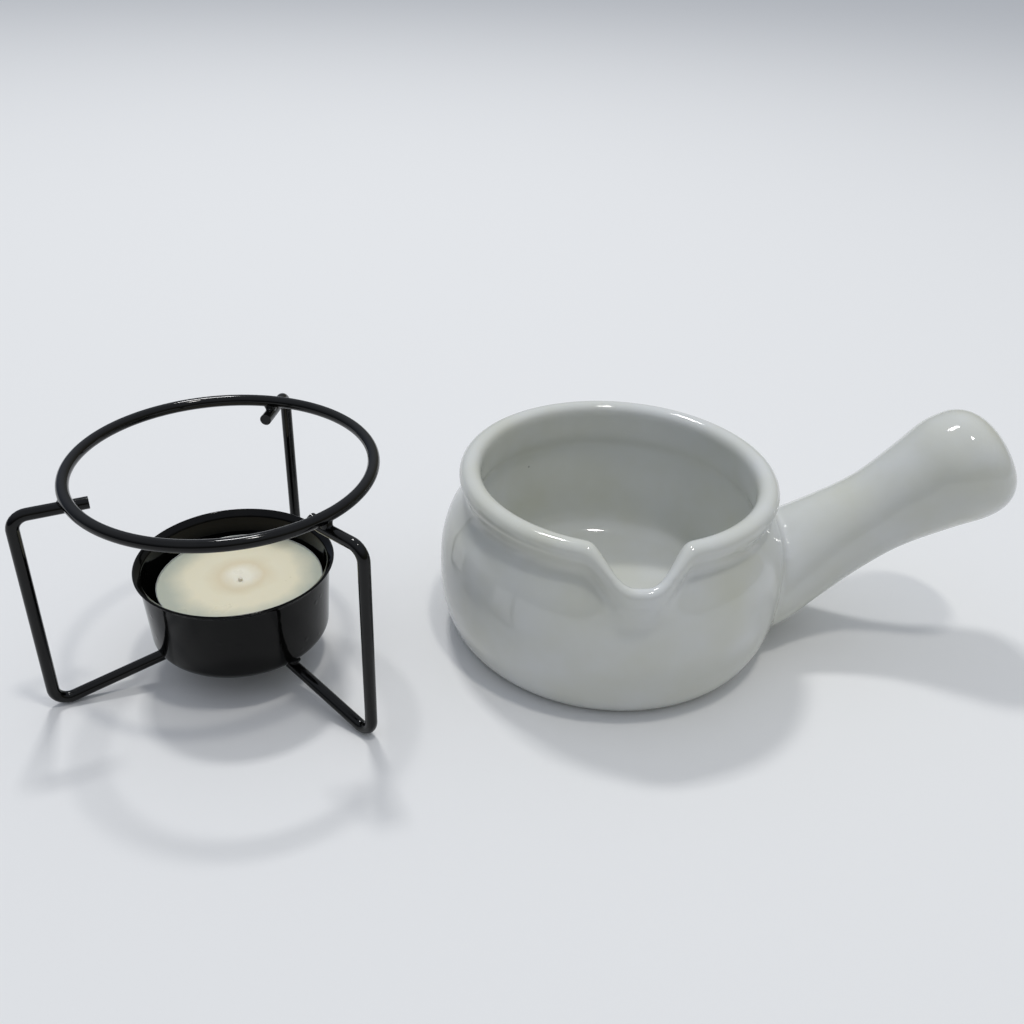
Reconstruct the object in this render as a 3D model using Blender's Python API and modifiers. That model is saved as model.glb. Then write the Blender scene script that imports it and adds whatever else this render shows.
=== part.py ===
# A candle melting pot: a porcelain pouring pot, the wire stand it is heated on,
# and the tealight that sits in the stand's holder. Metres, +Z up.
# The pot stands beside the stand, foot on the table, as it is shown.

import math

import bpy
import bmesh
from mathutils import Vector

MM = 0.001

# ---- sizes, each written once -------------------------------------------------
WELD_GAP = 0.3 * MM              # space kept wherever two pieces meet

WIRE_RADIUS = 1.35 * MM          # enamelled wire, all round the stand
STAND_HEIGHT = 54.3 * MM         # table to the top of the ring
RING_RADIUS = 32.5 * MM          # middle of the ring's wire
LEG_OVERHANG = 10.7 * MM         # leg wire outside the ring
STUB_INSIDE = 4.5 * MM           # leg wire inside the ring
LEG_BEND = 3.2 * MM              # bend radius at the wire's middle
LEG_DIRECTIONS = {"leg_left": 204.0, "leg_right": 318.4, "leg_rear": 80.4}
LEG_UNDER_HOLDER = 3.4 * MM      # how far a leg runs in under the holder

HOLDER_LIFT = 8.7 * MM           # table to the underside of the holder
HOLDER_HEIGHT = 19.6 * MM        # underside to the top of its rim
HOLDER_SHEET = 0.6 * MM          # sheet thickness
HOLDER_TAPER = 1.0 * MM          # mouth larger than base, on the radius
HOLDER_FLANGE = 1.1 * MM         # rim turned out, on the radius
HOLDER_FLANGE_RISE = 1.1 * MM    # the rim's edge stands this much higher
HOLDER_CORNER = 2.5 * MM

CUP_RADIUS = 18.9 * MM           # candle cup, outside its mouth
CUP_TAPER = 0.8 * MM
CUP_HEIGHT = 12.9 * MM
CUP_FOIL = 0.4 * MM
CUP_SLACK = 1.6 * MM             # holder floor larger than the cup's base
CUP_OFF_CENTRE = 0.86 * MM       # the candle sits a little to one side
CUP_OFF_DIRECTION = 44.0

WAX_BELOW_RIM = 0.6 * MM
WICK_RADIUS = 0.6 * MM
WICK_STANDS_OUT = 0.5 * MM
SUSTAINER_RADIUS = 6.5 * MM
SUSTAINER_SHEET = 0.4 * MM
SUSTAINER_COLLAR = 2.6 * MM      # height of its collar

POT_HEIGHT = 44.6 * MM
POT_FOOT_RADIUS = 38.3 * MM
POT_BELLY_RADIUS = 42.7 * MM
POT_RIM_RADIUS = 38.4 * MM       # outside of the rim bead
RIM_BEAD = 2.7 * MM              # radius of the bead
NECK_BEHIND_RIM = 1.7 * MM       # groove under the bead, on the radius
POT_WALL = 3.6 * MM
POT_FLOOR = 4.6 * MM
FOOT_RING_WIDTH = 4.2 * MM
FOOT_RECESS = 0.7 * MM

SPOUT_DIRECTION = -90.0
SPOUT_HALF_ANGLE = 19.0
SPOUT_REACH = 5.2 * MM           # lip beyond the rim
SPOUT_DROP = 6.4 * MM            # lip below the rim
SPOUT_LIP_THINNING = 0.32

HANDLE_TIP = 96.8 * MM           # pot's middle to the end of the handle
HANDLE_ROOT_HEIGHT = 12.7 * MM   # height of its middle line at the root
HANDLE_END_HEIGHT = 45.8 * MM    # height of its middle line at the end
HANDLE_WAIST = 10.7 * MM         # radius at the thinnest place
HANDLE_BULB = 13.9 * MM          # radius at the rounded end
HANDLE_ROOT_WIDTH = 17.4 * MM    # half widths where it meets the pot
HANDLE_ROOT_DEPTH = 11.8 * MM
HANDLE_CAP_LENGTH = 0.75         # rounded end, as a share of the bulb's radius
HANDLE_CAP_BLUNTNESS = 0.72      # below 1 the end is blunter than a ball
HANDLE_CAP_DROOP = 0.107         # the end's middle sits lower by this share

SPACE_BESIDE_POT = 14.5 * MM     # ring to belly, standing side by side
STAND_FORWARD = 16.3 * MM        # stand's middle nearer the front than the pot's

TURN_STEPS = 64


# ---- small helpers --------------------------------------------------------------
def clear_scene():
    for obj in list(bpy.data.objects):
        bpy.data.objects.remove(obj, do_unlink=True)


def new_collection(name, cutters=False):
    group = bpy.data.collections.new(name)
    bpy.context.scene.collection.children.link(group)
    group.hide_render = cutters
    return group


def material(name, colour, roughness, metallic=0.0):
    mat = bpy.data.materials.new(name)
    mat.use_nodes = True
    shader = mat.node_tree.nodes["Principled BSDF"]
    shader.inputs["Base Color"].default_value = (*colour, 1.0)
    shader.inputs["Roughness"].default_value = roughness
    shader.inputs["Metallic"].default_value = metallic
    mat.diffuse_color = (*colour, 1.0)
    return mat


def place(obj, group, mat=None, parent=None):
    group.objects.link(obj)
    if mat is not None:
        obj.data.materials.append(mat)
    if parent is not None:
        obj.parent = parent
    return obj


def empty_at(name, group, location, parent=None):
    obj = bpy.data.objects.new(name, None)
    obj.empty_display_size = 0.01
    obj.location = location
    group.objects.link(obj)
    if parent is not None:
        obj.parent = parent
    return obj


def blend(a, b, t):
    return a + (b - a) * t


def ease(t):
    t = min(1.0, max(0.0, t))
    return t * t * (3.0 - 2.0 * t)


def round_corners(points, radius, steps=5):
    """The same path with an arc of the given radius at each inner corner."""
    path = [points[0]]
    for before, corner, after in zip(points, points[1:], points[2:]):
        back = (before - corner).normalized()
        ahead = (after - corner).normalized()
        half = back.angle(ahead) / 2.0
        reach = radius / math.tan(half)
        middle = corner + (back + ahead).normalized() * (radius / math.sin(half))
        start = (corner + back * reach - middle).normalized()
        end = (corner + ahead * reach - middle).normalized()
        path += [middle + start.slerp(end, i / steps) * radius for i in range(steps + 1)]
    path.append(points[-1])
    return path


def smooth_through(points, steps):
    """A flowing curve through the points, with the given steps in each span."""
    ends = [points[0] * 2 - points[1]] + list(points) + [points[-1] * 2 - points[-2]]
    path = []
    for a, b, c, d in zip(ends, ends[1:], ends[2:], ends[3:]):
        for i in range(steps):
            t = i / steps
            path.append(0.5 * (2 * b + (c - a) * t + (2 * a - 5 * b + 4 * c - d) * t ** 2
                               + (3 * b - a - 3 * c + d) * t ** 3))
    path.append(points[-1])
    return path


def at(radius, height):
    return Vector((radius, 0.0, height))


def turned(name, profile, steps=TURN_STEPS):
    """A solid of revolution; the profile starts and ends on the axis."""
    mesh = bpy.data.meshes.new(name)
    mesh.from_pydata(profile, [(i, i + 1) for i in range(len(profile) - 1)], [])
    obj = bpy.data.objects.new(name, mesh)
    screw = obj.modifiers.new("turn", "SCREW")
    screw.axis = "Z"
    screw.steps = steps
    screw.render_steps = steps
    screw.use_merge_vertices = True
    screw.merge_threshold = 0.00002
    screw.use_smooth_shade = True
    return obj


def sheet_profile(middle, thickness):
    """Both faces of a pressed sheet from its middle line, which starts on the
    axis at the floor and ends at the rim: inner face, round edge, outer face."""
    inner, outer = [], []
    for i, point in enumerate(middle):
        along = middle[min(i + 1, len(middle) - 1)] - middle[max(i - 1, 0)]
        across = Vector((-along.z, 0.0, along.x)).normalized() * (thickness / 2)
        inner.append(point + across)
        outer.append(point - across)
    inner[0].x = outer[0].x = 0.0
    edge = middle[-1] + (middle[-1] - middle[-2]).normalized() * (thickness / 2)
    return inner + [edge] + outer[::-1]


def wire(name, path, radius, closed=False):
    curve = bpy.data.curves.new(name, "CURVE")
    curve.dimensions = "3D"
    curve.bevel_depth = radius
    curve.bevel_resolution = 4
    curve.use_fill_caps = not closed
    spline = curve.splines.new("POLY")
    spline.points.add(len(path) - 1)
    for spot, point in zip(spline.points, path):
        spot.co = (*point, 1.0)
    spline.use_cyclic_u = closed
    spline.use_smooth = True
    return bpy.data.objects.new(name, curve)


# ---- the stand --------------------------------------------------------------------
def holder_base_radius():
    return CUP_RADIUS - CUP_TAPER + CUP_SLACK + HOLDER_SHEET


def build_ring(group, mat, parent):
    height = STAND_HEIGHT - WIRE_RADIUS
    turns = [2 * math.pi * i / 72 for i in range(72)]
    path = [Vector((RING_RADIUS * math.cos(t), RING_RADIUS * math.sin(t), height)) for t in turns]
    place(wire("stand_ring", path, WIRE_RADIUS, closed=True), group, mat, parent)


def build_leg(name, degrees, group, mat, parent):
    under_ring = STAND_HEIGHT - 3 * WIRE_RADIUS - WELD_GAP
    reach = RING_RADIUS + LEG_OVERHANG
    inner_reach = holder_base_radius() - LEG_UNDER_HOLDER
    rise = HOLDER_LIFT - WELD_GAP - 2 * WIRE_RADIUS
    slope = math.atan2(rise, reach - inner_reach)
    inner_height = HOLDER_LIFT - WELD_GAP - WIRE_RADIUS / math.cos(slope)
    corners = [at(RING_RADIUS - STUB_INSIDE, under_ring), at(reach, under_ring),
               at(reach, WIRE_RADIUS), at(inner_reach, inner_height)]
    # the wire's lowest point is in the lower bend, and rests on the table
    lowest = min(point.z for point in round_corners(corners, LEG_BEND))
    corners[2].z -= lowest - WIRE_RADIUS
    path = round_corners(corners, LEG_BEND)
    leg = place(wire(name, path, WIRE_RADIUS), group, mat, parent)
    leg.rotation_euler.z = math.radians(degrees)


def build_holder(group, mat, parent):
    base = holder_base_radius() - HOLDER_SHEET / 2
    floor = HOLDER_LIFT + HOLDER_SHEET / 2
    mouth = HOLDER_LIFT + HOLDER_HEIGHT - HOLDER_FLANGE_RISE - HOLDER_SHEET / 2
    corners = [at(0, floor), at(base, floor), at(base + HOLDER_TAPER, mouth),
               at(base + HOLDER_TAPER + HOLDER_FLANGE, mouth + HOLDER_FLANGE_RISE)]
    middle = round_corners(corners[:3], HOLDER_CORNER, 4)[:-1]
    middle += round_corners([middle[-1]] + corners[2:], 0.8 * MM, 3)[1:]
    profile = sheet_profile(middle, HOLDER_SHEET)
    place(turned("tealight_holder", profile), group, mat, parent)


def build_stand(group, parent):
    enamel = material("black_enamel", (0.012, 0.012, 0.013), 0.18)
    build_ring(group, enamel, parent)
    for name, degrees in LEG_DIRECTIONS.items():
        build_leg(name, degrees, group, enamel.copy(), parent)
    build_holder(group, enamel.copy(), parent)


# ---- the tealight -------------------------------------------------------------------
def build_candle_cup(group, parent):
    foil = material("candle_cup_foil", (0.72, 0.73, 0.74), 0.3, 1.0)
    floor = CUP_FOIL / 2
    middle = round_corners([at(0, floor), at(CUP_RADIUS - CUP_TAPER - CUP_FOIL / 2, floor),
                            at(CUP_RADIUS - CUP_FOIL / 2, CUP_HEIGHT - CUP_FOIL / 2)], 1.2 * MM, 3)
    place(turned("candle_cup", sheet_profile(middle, CUP_FOIL), 56), group, foil, parent)


def wax_side(height):
    slope = CUP_TAPER / CUP_HEIGHT
    return CUP_RADIUS - CUP_TAPER - CUP_FOIL - WELD_GAP - 0.05 * MM + slope * height


def build_wax(group, parent):
    wax = material("candle_wax", (0.76, 0.71, 0.56), 0.42)
    bore = WICK_RADIUS + WELD_GAP
    collar = bore + SUSTAINER_SHEET + WELD_GAP + 0.1 * MM
    bottom = CUP_FOIL + WELD_GAP
    disc_top = bottom + SUSTAINER_SHEET + WELD_GAP
    collar_top = bottom + SUSTAINER_COLLAR + WELD_GAP
    top = CUP_HEIGHT - WAX_BELOW_RIM
    profile = [at(bore, collar_top), at(bore, top - 0.5 * MM), at(bore + 2.0 * MM, top - 0.45 * MM),
               at(bore + 5.0 * MM, top - 0.1 * MM), at(wax_side(top) - 2.0 * MM, top - 0.15 * MM),
               at(wax_side(top), top), at(wax_side(bottom + 1.0 * MM), bottom + 1.0 * MM),
               at(wax_side(bottom) - 1.0 * MM, bottom), at(SUSTAINER_RADIUS + WELD_GAP, bottom),
               at(SUSTAINER_RADIUS + WELD_GAP, disc_top), at(collar, disc_top), at(collar, collar_top)]
    profile.append(profile[0].copy())
    place(turned("wax", profile, 56), group, wax, parent)


def build_wick(group, parent):
    cotton = material("wick_cotton", (0.62, 0.58, 0.47), 0.9)
    bottom = CUP_FOIL + WELD_GAP + 0.3 * MM
    top = CUP_HEIGHT - WAX_BELOW_RIM + WICK_STANDS_OUT
    profile = [at(0, top), at(WICK_RADIUS * 0.8, top), at(WICK_RADIUS, top - 0.2 * MM),
               at(WICK_RADIUS, bottom), at(0, bottom)]
    place(turned("wick", profile, 16), group, cotton, parent)


def build_sustainer(group, parent):
    tin = material("sustainer_tin", (0.6, 0.6, 0.58), 0.35, 1.0)
    bore = WICK_RADIUS + WELD_GAP * 0.7
    outer = WICK_RADIUS + WELD_GAP + SUSTAINER_SHEET
    bottom = CUP_FOIL + WELD_GAP
    profile = [at(bore, bottom), at(bore, bottom + SUSTAINER_COLLAR),
               at(outer, bottom + SUSTAINER_COLLAR), at(outer, bottom + SUSTAINER_SHEET),
               at(SUSTAINER_RADIUS, bottom + SUSTAINER_SHEET), at(SUSTAINER_RADIUS, bottom)]
    profile.append(profile[0].copy())
    place(turned("wick_sustainer", profile, 32), group, tin, parent)


def build_tealight(group, parent):
    build_candle_cup(group, parent)
    build_wax(group, parent)
    build_wick(group, parent)
    build_sustainer(group, parent)


# ---- the pot ----------------------------------------------------------------------------
def pot_outside():
    """Outer side of the pot from the table to the groove under the rim bead."""
    neck = POT_RIM_RADIUS - NECK_BEHIND_RIM
    low = POT_FOOT_RADIUS
    belly = POT_BELLY_RADIUS
    high = POT_HEIGHT
    marks = [at(low - 0.9 * MM, 0.3 * MM), at(low, 1.2 * MM), at(blend(low, belly, 0.42), high * 0.085),
             at(blend(low, belly, 0.78), high * 0.19), at(blend(low, belly, 0.96), high * 0.30),
             at(belly, high * 0.42), at(blend(neck, belly, 0.93), high * 0.545),
             at(blend(neck, belly, 0.68), high * 0.665), at(blend(neck, belly, 0.30), high * 0.755),
             at(neck, high * 0.825)]
    return smooth_through(marks, 2)


def rim_bead(growth=0.0):
    """The rim's round bead, from the groove outside over the top to the inside."""
    middle = at(POT_RIM_RADIUS - RIM_BEAD, POT_HEIGHT - RIM_BEAD)
    size = RIM_BEAD + growth
    turns = [math.radians(a) for a in (-38, -12, 14, 40, 66, 92, 118, 144, 172)]
    return [middle + at(size * math.cos(t), size * math.sin(t)) for t in turns]


def pot_inside(outside):
    """Inner side from just below the bead down to the floor's middle."""
    inner = []
    for before, point, after in zip(outside, outside[1:], outside[2:]):
        if point.z > POT_FLOOR * 1.5:
            along = (after - before).normalized()
            inner.append(point + Vector((-along.z, 0.0, along.x)) * POT_WALL)
    inner = [p for p in inner if p.z > POT_FLOOR * 1.7]
    lowest = inner[0]
    turn = at(blend(lowest.x, 0, 0.10), POT_FLOOR + (lowest.z - POT_FLOOR) * 0.30)
    flat = at(blend(lowest.x, 0, 0.26), POT_FLOOR)
    return inner[::-1] + [turn, flat, at(lowest.x * 0.4, POT_FLOOR), at(0, POT_FLOOR)]


def pot_profile():
    outside = pot_outside()
    foot_outer = POT_FOOT_RADIUS - 0.9 * MM - 0.6 * MM
    foot_inner = foot_outer - FOOT_RING_WIDTH
    under = [at(foot_outer, 0), at(foot_inner, 0), at(foot_inner - 0.8 * MM, FOOT_RECESS),
             at(0, FOOT_RECESS)]
    return (pot_inside(outside)[::-1] + rim_bead()[::-1] + outside[::-1] + under)


def crowd_toward_spout(turn):
    """Turns the evenly spaced rows so that more of them lie across the spout."""
    aside = turn - math.radians(SPOUT_DIRECTION)
    return turn - 0.42 * math.sin(aside)


def outside_radius(height, outside):
    for below, above in zip(outside, outside[1:]):
        if below.z <= height <= above.z:
            return blend(below.x, above.x, (height - below.z) / (above.z - below.z))
    middle = POT_HEIGHT - RIM_BEAD
    rise = min(0.0, height - middle)
    return POT_RIM_RADIUS - RIM_BEAD + math.sqrt(max(0.0, RIM_BEAD ** 2 - rise ** 2))


def form_spout(point, outside):
    """Where a point of the plain turned pot goes when the spout is pulled."""
    turn = crowd_toward_spout(math.atan2(point.y, point.x))
    radius = math.hypot(point.x, point.y)
    aside = math.degrees(abs(math.remainder(turn - math.radians(SPOUT_DIRECTION), 2 * math.pi)))
    pull = 1.0 - ease((aside / SPOUT_HALF_ANGLE - 0.12) / 0.88)
    start, bead = POT_HEIGHT * 0.61, POT_HEIGHT - RIM_BEAD
    height = point.z
    if pull > 0.0 and height > start and radius > POT_RIM_RADIUS * 0.7:
        up = (height - start) / (bead - start)
        lip = POT_RIM_RADIUS + SPOUT_REACH
        if height < bead:
            shift = blend(outside_radius(start, outside), lip, up) - outside_radius(height, outside)
        else:
            shift = SPOUT_REACH
        near_bead = ease((height - (bead - RIM_BEAD * 1.3)) / (RIM_BEAD * 1.3))
        middle = POT_RIM_RADIUS - RIM_BEAD
        thin = SPOUT_LIP_THINNING * pull * near_bead
        radius = blend(radius, middle, thin) + pull * shift
        height = blend(height, bead, thin) - pull * SPOUT_DROP * ease(up)
    return Vector((radius * math.cos(turn), radius * math.sin(turn), height))


def build_bowl(group, mat, parent):
    shape = turned("pot_bowl_turned", pot_profile(), 72)
    group.objects.link(shape)
    bpy.context.view_layer.update()
    solid = shape.evaluated_get(bpy.context.evaluated_depsgraph_get())
    mesh = bpy.data.meshes.new_from_object(solid)
    bpy.data.objects.remove(shape, do_unlink=True)
    mesh.name = "pot_bowl"
    outside = pot_outside()
    for vertex in mesh.vertices:
        vertex.co = form_spout(vertex.co, outside)
    place(bpy.data.objects.new("pot_bowl", mesh), group, mat, parent)


def handle_stations():
    """Middle line and half widths of the handle: (out, up, half width, half depth)."""
    root, end = POT_BELLY_RADIUS * 0.86, HANDLE_TIP - HANDLE_BULB * 0.86
    low, high = HANDLE_ROOT_HEIGHT, HANDLE_END_HEIGHT
    marks = [(-0.10, -0.05, HANDLE_ROOT_WIDTH * 1.06, HANDLE_ROOT_DEPTH * 0.96),
             (0.05, 0.06, HANDLE_ROOT_WIDTH, HANDLE_ROOT_DEPTH),
             (0.20, 0.20, blend(HANDLE_WAIST, HANDLE_ROOT_WIDTH, 0.52), HANDLE_ROOT_DEPTH * 0.99),
             (0.40, 0.40, blend(HANDLE_WAIST, HANDLE_ROOT_WIDTH, 0.10), HANDLE_WAIST * 1.03),
             (0.60, 0.60, HANDLE_WAIST, HANDLE_WAIST * 0.99),
             (0.80, 0.808, blend(HANDLE_WAIST, HANDLE_BULB, 0.49), blend(HANDLE_WAIST, HANDLE_BULB, 0.49)),
             (0.93, 0.942, blend(HANDLE_WAIST, HANDLE_BULB, 0.96), blend(HANDLE_WAIST, HANDLE_BULB, 0.96)),
             (1.0, 1.0, HANDLE_BULB, HANDLE_BULB)]
    lines = [Vector((blend(root, end, a), 0.0, blend(low, high, b))) for a, b, _, _ in marks]
    sizes = [Vector((c, d, 0.0)) for _, _, c, d in marks]
    return smooth_through(lines, 3), smooth_through(sizes, 3)


def build_handle(group, cutters, mat, parent):
    line, sizes = handle_stations()
    sides, rings = 32, []
    for i, (point, size) in enumerate(zip(line, sizes)):
        along = (line[min(i + 1, len(line) - 1)] - line[max(i - 1, 0)]).normalized()
        rings.append((point, along, size.x, size.y))
    last, along, wide, deep = rings[-1]
    reach = HANDLE_BULB * HANDLE_CAP_LENGTH
    for step in range(1, 7):
        turn = math.radians(90.0 * step / 7)
        droop = Vector((0.0, 0.0, -HANDLE_CAP_DROOP * HANDLE_BULB * math.sin(turn) ** 2))
        shrink = math.cos(turn) ** HANDLE_CAP_BLUNTNESS
        rings.append((last + along * reach * math.sin(turn) + droop, along,
                      wide * shrink, deep * shrink))
    tip = last + along * reach + Vector((0.0, 0.0, -HANDLE_CAP_DROOP * HANDLE_BULB))

    form = bmesh.new()
    loops = []
    for point, along, wide, deep in rings:
        side = Vector((0.0, 1.0, 0.0))
        up = along.cross(side)
        turns = [2 * math.pi * k / sides for k in range(sides)]
        loops.append([form.verts.new(point + side * wide * math.cos(t) + up * deep * math.sin(t))
                      for t in turns])
    for first, second in zip(loops, loops[1:]):
        for k in range(sides):
            form.faces.new((first[k], first[(k + 1) % sides], second[(k + 1) % sides], second[k]))
    pole = form.verts.new(tip)
    for k in range(sides):
        form.faces.new((loops[-1][k], loops[-1][(k + 1) % sides], pole))
    form.faces.new(loops[0][::-1])
    bmesh.ops.recalc_face_normals(form, faces=form.faces)
    for face in form.faces:
        face.smooth = True
    mesh = bpy.data.meshes.new("pot_handle")
    form.to_mesh(mesh)
    form.free()
    handle = place(bpy.data.objects.new("pot_handle", mesh), group, mat, parent)

    cut = handle.modifiers.new("fit_to_pot", "BOOLEAN")
    cut.operation = "DIFFERENCE"
    cut.solver = "EXACT"
    cut.object = build_handle_cutter(cutters, parent)


def build_handle_cutter(cutters, parent):
    """The pot's outside, grown by the gap: what the handle's root is cut away by."""
    outside = pot_outside()
    grown = []
    for i, point in enumerate(outside):
        along = outside[min(i + 1, len(outside) - 1)] - outside[max(i - 1, 0)]
        grown.append(point + Vector((along.z, 0.0, -along.x)).normalized() * WELD_GAP)
    top = [at(0, POT_HEIGHT + WELD_GAP)] + [p for p in rim_bead(WELD_GAP)[::-1]
                                           if p.x > POT_RIM_RADIUS - RIM_BEAD]
    profile = top + grown[::-1] + [at(grown[0].x, -20 * MM), at(0, -20 * MM)]
    shape = turned("cut_pot_outside_turned", profile, 72)
    cutters.objects.link(shape)
    bpy.context.view_layer.update()
    solid = shape.evaluated_get(bpy.context.evaluated_depsgraph_get())
    mesh = bpy.data.meshes.new_from_object(solid)
    bpy.data.objects.remove(shape, do_unlink=True)
    for vertex in mesh.vertices:
        turn = crowd_toward_spout(math.atan2(vertex.co.y, vertex.co.x))
        radius = math.hypot(vertex.co.x, vertex.co.y)
        vertex.co = Vector((radius * math.cos(turn), radius * math.sin(turn), vertex.co.z))
    cutter = bpy.data.objects.new("cut_pot_outside", mesh)
    cutter.display_type = "WIRE"
    cutter.hide_render = True
    return place(cutter, cutters, None, parent)


def build_pot(group, cutters, parent):
    glaze = material("white_glaze", (0.70, 0.71, 0.70), 0.12)
    build_bowl(group, glaze, parent)
    build_handle(group, cutters, glaze.copy(), parent)


# ---- the whole object --------------------------------------------------------------------
def centre_over_origin(group, origin):
    """Moves the whole object so that the middle of its footprint is the origin."""
    bpy.context.view_layer.update()
    depsgraph = bpy.context.evaluated_depsgraph_get()
    corners = []
    for obj in group.objects:
        if obj.type in {"MESH", "CURVE"}:
            solid = obj.evaluated_get(depsgraph)
            shape = bpy.data.meshes.new_from_object(solid)
            corners += [solid.matrix_world @ vertex.co for vertex in shape.vertices]
            bpy.data.meshes.remove(shape)
    for axis in (0, 1):
        low = min(corner[axis] for corner in corners)
        high = max(corner[axis] for corner in corners)
        origin.location[axis] -= (low + high) / 2


def main():
    clear_scene()
    group = new_collection("candle_melting_pot")
    cutters = new_collection("cutters", cutters=True)

    origin = empty_at("origin", group, (0.0, 0.0, 0.0))
    pot = empty_at("pot_frame", group, (0.0, 0.0, 0.0), origin)
    stand_x = -(POT_BELLY_RADIUS + SPACE_BESIDE_POT + RING_RADIUS)
    stand = empty_at("stand_frame", group, (stand_x, -STAND_FORWARD, 0.0), origin)
    aside = math.radians(CUP_OFF_DIRECTION)
    tealight = empty_at("tealight_frame", group,
                        (CUP_OFF_CENTRE * math.cos(aside), CUP_OFF_CENTRE * math.sin(aside),
                         HOLDER_LIFT + HOLDER_SHEET + WELD_GAP), stand)

    build_stand(group, stand)
    build_tealight(group, tealight)
    build_pot(group, cutters, pot)
    centre_over_origin(group, origin)


main()
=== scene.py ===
import math

import bmesh
import bpy
import numpy as np
from mathutils import Matrix, Vector, noise


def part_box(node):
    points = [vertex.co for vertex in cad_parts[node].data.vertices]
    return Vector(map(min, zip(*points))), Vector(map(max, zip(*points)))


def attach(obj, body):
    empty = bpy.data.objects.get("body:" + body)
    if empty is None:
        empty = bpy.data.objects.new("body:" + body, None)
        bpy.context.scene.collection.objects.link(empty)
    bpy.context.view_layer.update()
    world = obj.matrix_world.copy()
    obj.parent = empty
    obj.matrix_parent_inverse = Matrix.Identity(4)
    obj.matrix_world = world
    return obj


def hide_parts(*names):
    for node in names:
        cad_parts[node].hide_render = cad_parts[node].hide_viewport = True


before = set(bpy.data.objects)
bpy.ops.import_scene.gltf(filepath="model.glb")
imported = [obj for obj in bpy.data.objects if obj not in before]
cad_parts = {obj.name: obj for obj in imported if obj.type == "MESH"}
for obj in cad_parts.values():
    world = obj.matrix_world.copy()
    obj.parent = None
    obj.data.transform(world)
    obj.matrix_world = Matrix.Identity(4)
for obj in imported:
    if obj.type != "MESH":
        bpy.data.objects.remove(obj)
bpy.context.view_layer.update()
mm = 0.001


# where things stand, read from the frame
def axisOf(node):
    low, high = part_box(node)
    return Vector(((low.x + high.x) / 2, (low.y + high.y) / 2, 0))


bowlLow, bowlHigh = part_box("pot_bowl")
potAxis = Vector(((bowlLow.x + bowlHigh.x) / 2, bowlHigh.y - (bowlHigh.x - bowlLow.x) / 2, 0))
standAxis = axisOf("stand_ring")
candleAxis = axisOf("candle_cup")
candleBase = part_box("candle_cup")[0].z
print("frame loaded, pot axis", [round(c / mm, 1) for c in potAxis])


# small helpers
def linearColor(hexText):
    parts = [int(hexText[i:i + 2], 16) / 255 for i in (1, 3, 5)]
    return (*[p / 12.92 if p <= 0.04045 else ((p + 0.055) / 1.055) ** 2.4 for p in parts], 1)


def addNode(tree, kind, settings={}, inputs={}):
    node = tree.nodes.new(kind)
    for key, value in settings.items():
        setattr(node, key, value)
    for key, value in inputs.items():
        if isinstance(value, bpy.types.NodeSocket):
            tree.links.new(value, node.inputs[key])
        else:
            node.inputs[key].default_value = value
    return node


def newMaterial(name):
    material = bpy.data.materials.new(name)
    material.use_nodes = True
    tree = material.node_tree
    tree.nodes.clear()
    where = addNode(tree, "ShaderNodeTexCoord").outputs["Object"]
    return material, tree, where


def closeMaterial(tree, inputs):
    shader = addNode(tree, "ShaderNodeBsdfPrincipled", {}, inputs)
    addNode(tree, "ShaderNodeOutputMaterial", {}, {"Surface": shader.outputs["BSDF"]})


def noiseOf(tree, where, size, detail, roughness=0.5):      # size of its grain in mm
    return addNode(tree, "ShaderNodeTexNoise", {}, {
        "Vector": where, "Scale": 1 / (size * mm), "Detail": detail,
        "Roughness": roughness}).outputs["Fac"]


def blend(tree, share, a, b):      # one color into another by a share
    return addNode(tree, "ShaderNodeMix", {"data_type": "RGBA"}, {
        "Factor": share, 6: a, 7: b}).outputs[2]


# a value stretched from one span to another, softly at both ends where that is asked
def stretched(tree, value, span, to=(0.0, 1.0), soft=False):
    kind = {"interpolation_type": "SMOOTHSTEP"} if soft else {}
    return addNode(tree, "ShaderNodeMapRange", kind, {
        "Value": value, "From Min": span[0], "From Max": span[1], "To Min": to[0],
        "To Max": to[1]}).outputs["Result"]


def bumped(tree, height, strength, depth, under=None):      # depth in mm
    inputs = {"Height": height, "Strength": strength, "Distance": depth * mm}
    if under is not None:
        inputs["Normal"] = under
    return addNode(tree, "ShaderNodeBump", {}, inputs).outputs["Normal"]


def ramp(tree, value, stops):
    node = addNode(tree, "ShaderNodeValToRGB", {}, {"Fac": value})
    elements = node.color_ramp.elements
    while len(elements) < len(stops):
        elements.new(0.5)
    for element, (spot, color) in zip(elements, stops):
        element.position = spot
        element.color = linearColor(color)
    return node.outputs["Color"]


def ease(t):
    t = np.clip(t, 0, 1)
    return t * t * (3 - 2 * t)


def mix(a, b, t):
    return a + (b - a) * t


def smoothThrough(marks, steps):      # flowing curve through the marks
    marks = np.array(marks, float)
    ends = np.vstack([2 * marks[0] - marks[1], marks, 2 * marks[-1] - marks[-2]])
    path = []
    for a, b, c, d in zip(ends, ends[1:], ends[2:], ends[3:]):
        for t in np.arange(steps) / steps:
            path.append(0.5 * (2 * b + (c - a) * t + (2 * a - 5 * b + 4 * c - d) * t ** 2
                               + (3 * b - a - 3 * c + d) * t ** 3))
    return np.vstack([path, marks[-1]])


def roundCorners(points, radius, steps=8):
    points = [Vector(p) for p in points]
    path = [points[0]]
    for before, corner, after in zip(points, points[1:], points[2:]):
        back, ahead = (before - corner).normalized(), (after - corner).normalized()
        half = back.angle(ahead) / 2
        middle = corner + (back + ahead).normalized() * (radius / math.sin(half))
        start = (corner + back * radius / math.tan(half) - middle).normalized()
        end = (corner + ahead * radius / math.tan(half) - middle).normalized()
        path += [middle + start.slerp(end, i / steps) * radius for i in range(steps + 1)]
    return path + [points[-1]]


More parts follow.
